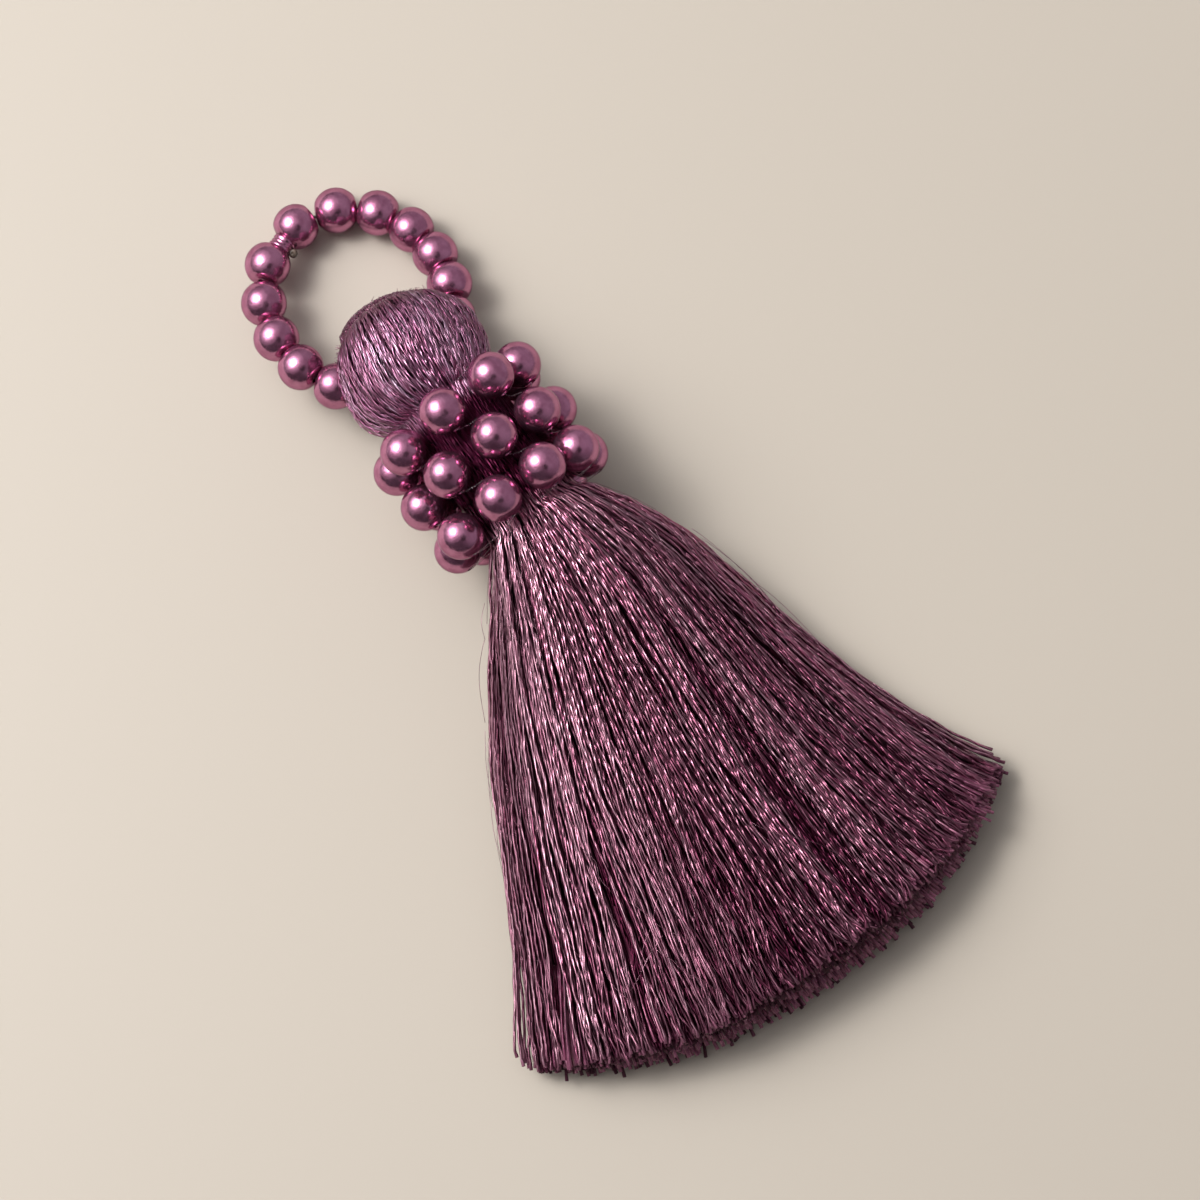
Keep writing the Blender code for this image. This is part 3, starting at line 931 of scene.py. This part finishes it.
def add_skirt_fibre(bundle):
    """One fine fibre that lies loosely over the skirt."""
    angle = random.uniform(0.0, math.pi)
    start = random.uniform(NECK_SECTION + 1.5, END_SECTION - 1.5)
    place = np.linspace(start, min(start + random.uniform(0.5, 1.6), END_SECTION), 16)
    turn = random.normal(0.0, 0.10) * np.linspace(0.0, 1.0, 16)
    turn += wave(place * 5.0, 8.0, 2.0) * 0.02
    depth = -0.05 - 0.35 * random.uniform() * np.sin(np.linspace(0.0, math.pi, 16))
    rows = hank_rows(place, angle + turn, depth, 0.0)
    rows, places = resampled(rows, FINE_STEP, path_length(rows))
    tone = random.uniform(0.4, 1.0)
    bundle.add(rows, places, tone, sides=FIBRE_SIDES, cut=(0.0, 0.0), width=FIBRE_WIDTH)


def fibre_bundle():
    """Loose fine fibres: a fuzz along the fold of the head and a few that lie over the skirt."""
    bundle = ThreadBundle()
    for _ in range(FOLD_FIBRES):
        add_fold_fibre(bundle)
    for _ in range(SKIRT_FIBRES):
        add_skirt_fibre(bundle)
    return bundle


def end_bundle():
    """Short threads that fill the cut end of the skirt behind its outer ones."""
    bundle = ThreadBundle()
    for angle in even_angles(END_SECTION, END_THREADS, 0.0, 2 * math.pi):
        depth = 0.7 + 3.6 * random.uniform() ** 1.4
        place = np.linspace(END_SECTION - 2.0, END_SECTION, 12)
        shade = random.uniform(0.0, 0.3)
        depths = depth + np.linspace(0.5, 0.0, 12)
        rows = hank_rows(place, np.full(12, angle), depths, shade)
        length = path_length(rows) + float(np.clip(random.normal(-0.3, 0.35), -1.0, 0.3))
        rows = np.concatenate([rows, past_the_end(rows, 3, (1.2,))])
        rows, places = resampled(rows, COARSE_STEP, length)
        bundle.add(rows, places, random.uniform(0.0, 0.8), sides=PLAIN_SIDES, fade=END_CUT_FADE)
    return bundle


def fold_rows(above, below, shade):
    """Rows round the fold of the head, from the last row above it to the first one below."""
    half = (above[2] - below[2]) / 2
    bend = np.linspace(0, math.pi, FOLD_STEPS + 2)[1:-1]
    centre = (above[:3] + below[:3]) / 2
    return np.stack([
        np.full(FOLD_STEPS, centre[0]),
        centre[1] + np.sin(bend) * min(half, FOLD_BULGE),
        centre[2] + np.cos(bend) * half,
        0 * bend,
        np.sin(bend),
        np.cos(bend),
        np.full(FOLD_STEPS, shade),
    ], axis=-1)


def head_bundle():
    """Threads that loop over the ring: up from the neck, round the fold and back underneath."""
    bundle = ThreadBundle()
    for angle in even_angles(HEAD_MIDDLE_SECTION, HEAD_THREADS, 0.02, math.pi - 0.02):
        depth = THREAD_RADIUS + HEAD_DEPTH * random.uniform()
        shade = HEAD_SHADE + HEAD_DEPTH_SHADE * float(smoothstep(depth, 0.16, 0.7))
        place = np.linspace(NECK_SECTION + 0.2, 0.0, HEAD_STEPS)
        drift = angle + wave(place, 9.0, 2.5) * HEAD_DRIFT
        # Painted shade that grows towards the head's fold.
        fold_shaded = shade + (1 - shade) * FOLD_SHADE * (1 - smoothstep(place, 0.3, 4.0))
        depths = np.full(HEAD_STEPS, depth)
        above = hank_rows(place, drift, depths, fold_shaded)
        below = hank_rows(place[::-1], -drift[::-1], depths, fold_shaded[::-1])
        rows = np.concatenate([above, fold_rows(above[-1], below[0], fold_shaded[-1]), below])
        wandered = np.arange(len(rows)) * 0.4
        rows[:, 0] += wave(wandered, 5.0, 1.6) * HEAD_WAVER[0]
        rows[:, 2] += wave(wandered, 5.0, 1.6) * HEAD_WAVER[1]
        rows[:, 2] = np.maximum(rows[:, 2], THREAD_RADIUS)
        length = path_length(rows)
        rows, places = resampled(rows, HEAD_STEP, length, HEAD_FINE_SHARE * length)
        # Darker tones than the skirt's threads: painted shade.
        tone = float(np.clip(random.normal(0.25, 0.25), 0.0, 1.0))
        bundle.add(rows, places, tone, pitch=HEAD_TWIST_PITCH, cut=(0.0, 0.0))
    return bundle


def inner_piece(finish):
    """The mass of threads under the outer ones, as one ridged body that ends short of the cut."""
    n = INNER_RIDGES * 2
    around = 2 * math.pi * np.arange(n) / n
    ridge = INNER_RIDGE_DEPTH * (np.arange(n) % 2)
    places = np.concatenate([
        np.linspace(0.6, NECK_SECTION, 14),
        np.linspace(NECK_SECTION + 0.4, END_SECTION - 1.5, 26),
    ])
    rings = [hank_points(np.full(n, p), around, INNER_DEPTH + ridge) for p in places]
    points = np.concatenate(rings)
    quads = ring_quads(0, len(places), n)[:, [0, 3, 2, 1]]
    first, last = len(points), len(points) + 1
    points = np.concatenate([points, rings[0].mean(axis=0)[None], rings[-1].mean(axis=0)[None]])
    k = np.arange(n)
    after = (k + 1) % n
    low = n * (len(places) - 1)
    triangles = np.concatenate([
        np.stack([np.full(n, first), k, after], axis=-1),
        np.stack([np.full(n, last), low + after, low + k], axis=-1),
    ])
    count = len(points)
    along = np.append(np.repeat(places, n), (0.0, 0.0))
    attributes = {
        "tone": np.full(count, INNER_TONE),
        "turn": along,
        # Painted shade on every other point round each ring, in the grooves between the ridges.
        "side": (np.arange(count) % 2).astype(float),
        "along": along,
        "cut": np.zeros(count),
        "shade": np.full(count, INNER_SHADE),
        "corner": np.tile((1.0, 0.0, 0.0), (count, 1)),
        "grain": np.tile((0.0, -1.0, 0.0), (count, 1)),
    }
    return mesh_from_arrays("hank_inner_threads", points, quads, triangles, finish, attributes)


# ---- beads and line


def node_centre(name):
    low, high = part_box(name)
    return (np.array(low) + np.array(high)) / 2 / MM


def lathe(name, profiles, centres, axes, finish):
    """One mesh of a turned shape at each centre, from rows of a radius and a place on its axis."""
    turns = 2 * math.pi * np.arange(BEAD_SEGMENTS) / BEAD_SEGMENTS
    k = np.arange(BEAD_SEGMENTS)[None, :]
    after = (k + 1) % BEAD_SEGMENTS
    points, quads = [], []
    count = 0
    for profile, centre, axis in zip(profiles, centres, axes):
        profile = np.array(profile)
        row = count + BEAD_SEGMENTS * np.arange(len(profile))[:, None]
        next_row = np.roll(row, -1, axis=0)
        corners = [row + k, next_row + k, next_row + after, row + after]
        quads.append(np.stack(corners, axis=-1).reshape(-1, 4))
        turn = np.array(Vector(axis).to_track_quat("Y", "Z").to_matrix())
        local = np.stack([
            profile[:, :1] * np.cos(turns),
            profile[:, 1:] + 0 * turns,
            profile[:, :1] * np.sin(turns),
        ], axis=-1).reshape(-1, 3)
        points.append(local @ turn.T + centre)
        count += len(local)
    return plain_mesh(name, points, quads, finish)


def mirrored(profile):
    return [(radius, -place) for radius, place in reversed(profile)]


def bead_profile(half_length):
    """Outline of a drilled bead: its bore, a flattened end where it is short, and the round."""
    rim = BEAD_BORE_RADIUS + BEAD_RIM
    flat_ends = half_length < BEAD_RADIUS
    round_from = BEAD_ROUND_FROM if flat_ends else math.asin(rim / BEAD_RADIUS)
    angles = np.linspace(round_from, math.pi - round_from, BEAD_ROWS)
    outside = [(BEAD_RADIUS * math.sin(a), BEAD_RADIUS * math.cos(a)) for a in angles]
    end = []
    if flat_ends:
        radius, place = outside[0]
        bend = (radius - (half_length - place) * 0.8, half_length - 0.03)
        for t in np.linspace(0.0, 1.0, BEAD_END_ROWS + 1)[:-1]:
            weights = ((1 - t) ** 2, 2 * t * (1 - t), t * t)
            corners = ((rim, half_length), bend, outside[0])
            end.append(tuple(sum(w * c[k] for w, c in zip(weights, corners)) for k in (0, 1)))
    face = (end + outside)[0][1]
    bore = [
        (BEAD_BORE_RADIUS, face - 0.35),
        (BEAD_BORE_RADIUS, face - 0.06),
        (BEAD_BORE_RADIUS + 0.03, face - 0.015),
    ]
    return bore + end + outside + mirrored(bore + end)


def tube(name, paths, radius, sides, finish):
    """Round tubes along smooth open paths, thin at their ends, joined into one mesh."""
    points, quads = [], []
    count = 0
    for path in paths:
        steps = len(path)
        forward = unit(np.gradient(path, axis=0))
        side = unit(np.cross(forward, (0.13, 0.31, 0.94)))
        from_end = np.minimum(np.arange(steps), np.arange(steps)[::-1])
        taper = np.clip(from_end, 0.25, 1.0) * radius
        points.append(ring_points(path, taper, side, np.cross(forward, side), sides))
        quads.append(ring_quads(count, steps, sides))
        count += steps * sides
    return plain_mesh(name, points, quads, finish)


def smooth_path(points, steps):
    """A Catmull-Rom curve through the points."""
    points = np.array(points, float)
    padded = np.concatenate([2 * points[:1] - points[1:2], points, 2 * points[-1:] - points[-2:-1]])
    t = np.linspace(0, len(points) - 1, steps)
    index = np.minimum(t.astype(int), len(points) - 2)
    t = (t - index)[:, None]
    return curve(*(padded[index + k] for k in range(4)), t)


def bead_pieces():
    """The ring's beads, crimp and knot, the collar's beads and the clear line that nets them."""
    route = RING_BEADS[:CRIMP_AFTER_BEAD] + ["ring_crimp"] + RING_BEADS[CRIMP_AFTER_BEAD:]
    spots = np.array([node_centre(name) for name in route])
    axes = np.roll(spots, -1, axis=0) - np.roll(spots, 1, axis=0)
    gaps = np.linalg.norm(np.roll(spots, -1, axis=0) - spots, axis=1)
    room = (gaps + np.roll(gaps, 1)) / 4
    beads = [n for n, name in enumerate(route) if name != "ring_crimp"]
    # A bead beside the crimp has less room than the others, and keeps their usual length.
    usual = float(np.median(room))
    half_lengths = [(room[n] if room[n] > 0.9 * usual else usual) - BEAD_GAP for n in beads]
    profiles = [bead_profile(half_length) for half_length in half_lengths]
    coating = bead_material()
    ring = lathe("ring_beads", profiles, spots[beads], axes[beads], coating)
    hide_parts(*RING_BEADS)
    here = slice(CRIMP_AFTER_BEAD, CRIMP_AFTER_BEAD + 1)
    profile = [*CRIMP_HALF, CRIMP_MIDDLE, *mirrored(CRIMP_HALF)]
    crimp = lathe("ring_crimp_grooved", [profile], spots[here], axes[here], coating)
    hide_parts("ring_crimp")
    places = [node_centre(name) for name in COLLAR_BEADS]
    profiles = [bead_profile(BEAD_RADIUS)] * len(places)
    collar = lathe("collar_beads", profiles, places, [(0, 1, 0)] * len(places), coating)
    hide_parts(*COLLAR_BEADS)
    inward = spots.mean(axis=0) - spots[CRIMP_AFTER_BEAD]
    path = knot_path(spots[CRIMP_AFTER_BEAD], inward / np.linalg.norm(inward))
    knot = tube("ring_cord_knot", [path], KNOT_RADIUS, KNOT_SIDES, cord_material())
    line = tube("collar_line", collar_line_paths(), LINE_RADIUS, LINE_SIDES, line_material())
    return [ring, crimp, collar, knot, line]


def knot_path(centre, inward):
    """The cord's trimmed knot, which hangs inside the ring beside the crimp."""
    beside = np.cross(inward, (0.0, 0.0, 1.0))
    steps = np.linspace(0.0, 1.0, KNOT_STEPS)
    turn = 2 * math.pi * KNOT_TURNS * steps
    out = 1.25 + KNOT_RADIUS * np.sin(turn)
    points = centre + out[:, None] * inward + (KNOT_RADIUS * np.cos(turn))[:, None] * beside
    points[:, 2] += 0.25 - 0.5 * steps
    points[:, 2] = np.maximum(points[:, 2], 0.25)
    return points


def collar_line_paths():
    """The line between the beads' bores: down each slanting column, and looped at both edges."""
    rows = {row: [node_centre(f"collar_{row}_bead_{n}") for n in range(1, 10)] for row in "abc"}
    axis = np.array((HANK_CENTRE[0], 0.0, COLLAR_AXIS_HEIGHT))

    def angle(point):
        return math.atan2(point[0] - axis[0], point[2] - axis[2])

    def inward(point, far):
        away = (point - axis) * (1.0, 0.0, 1.0)
        return point - far * away / np.linalg.norm(away)

    def exit_points(bead, sign):
        return [bead + (0.0, sign * place, 0.0) for place in LINE_EXIT]

    def path(start, finish, back, dip):
        middle = inward((start[-1] + finish[0]) / 2 + (0.0, back, 0.0), dip)
        return smooth_path(start + [middle] + finish, LINE_STEPS)

    paths = []
    for upper, lower in (("a", "b"), ("b", "c")):
        for bead in rows[upper]:
            for other in rows[lower]:
                if 0.0 < (angle(other) - angle(bead)) % (2 * math.pi) < LINE_REACH:
                    start, finish = exit_points(bead, -1), exit_points(other, 1)[::-1]
                    paths.append(path(start, finish, 0.0, LINE_DIP))
    for row, sign in (("a", 1), ("c", -1)):
        order = sorted(rows[row], key=angle)
        for bead, other in zip(order, order[1:] + order[:1]):
            start, finish = exit_points(bead, sign), exit_points(other, sign)[::-1]
            paths.append(path(start, finish, -sign * LINE_EDGE_BACK, LINE_EDGE_DIP))
    return paths


def build():
    add_camera()
    add_floor()
    add_room()
    add_key_light()
    silk = silk_material("twisted_silk", SKIRT_TONES)
    shaded_head_silk = silk_material("shaded_head_silk", HEAD_SHADED_TONES)
    fine_bundles, under = skirt_pieces()
    pieces = [part.mesh(f"skirt_threads_{n}", silk) for n, part in enumerate(fine_bundles, 1)]
    pieces += [
        under.mesh("skirt_threads_under", silk),
        end_bundle().mesh("skirt_threads_end", silk),
        head_bundle().mesh("head_threads", shaded_head_silk),
        fibre_bundle().mesh("loose_fibres", silk),
        inner_piece(silk),
    ]
    for piece in pieces:
        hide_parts("silk_hank")
    pieces += bead_pieces()
    for piece in pieces:
        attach(piece, "root")
    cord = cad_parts["ring_cord"]
    cord.data.materials.clear()
    cord.data.materials.append(cord_material())


build()
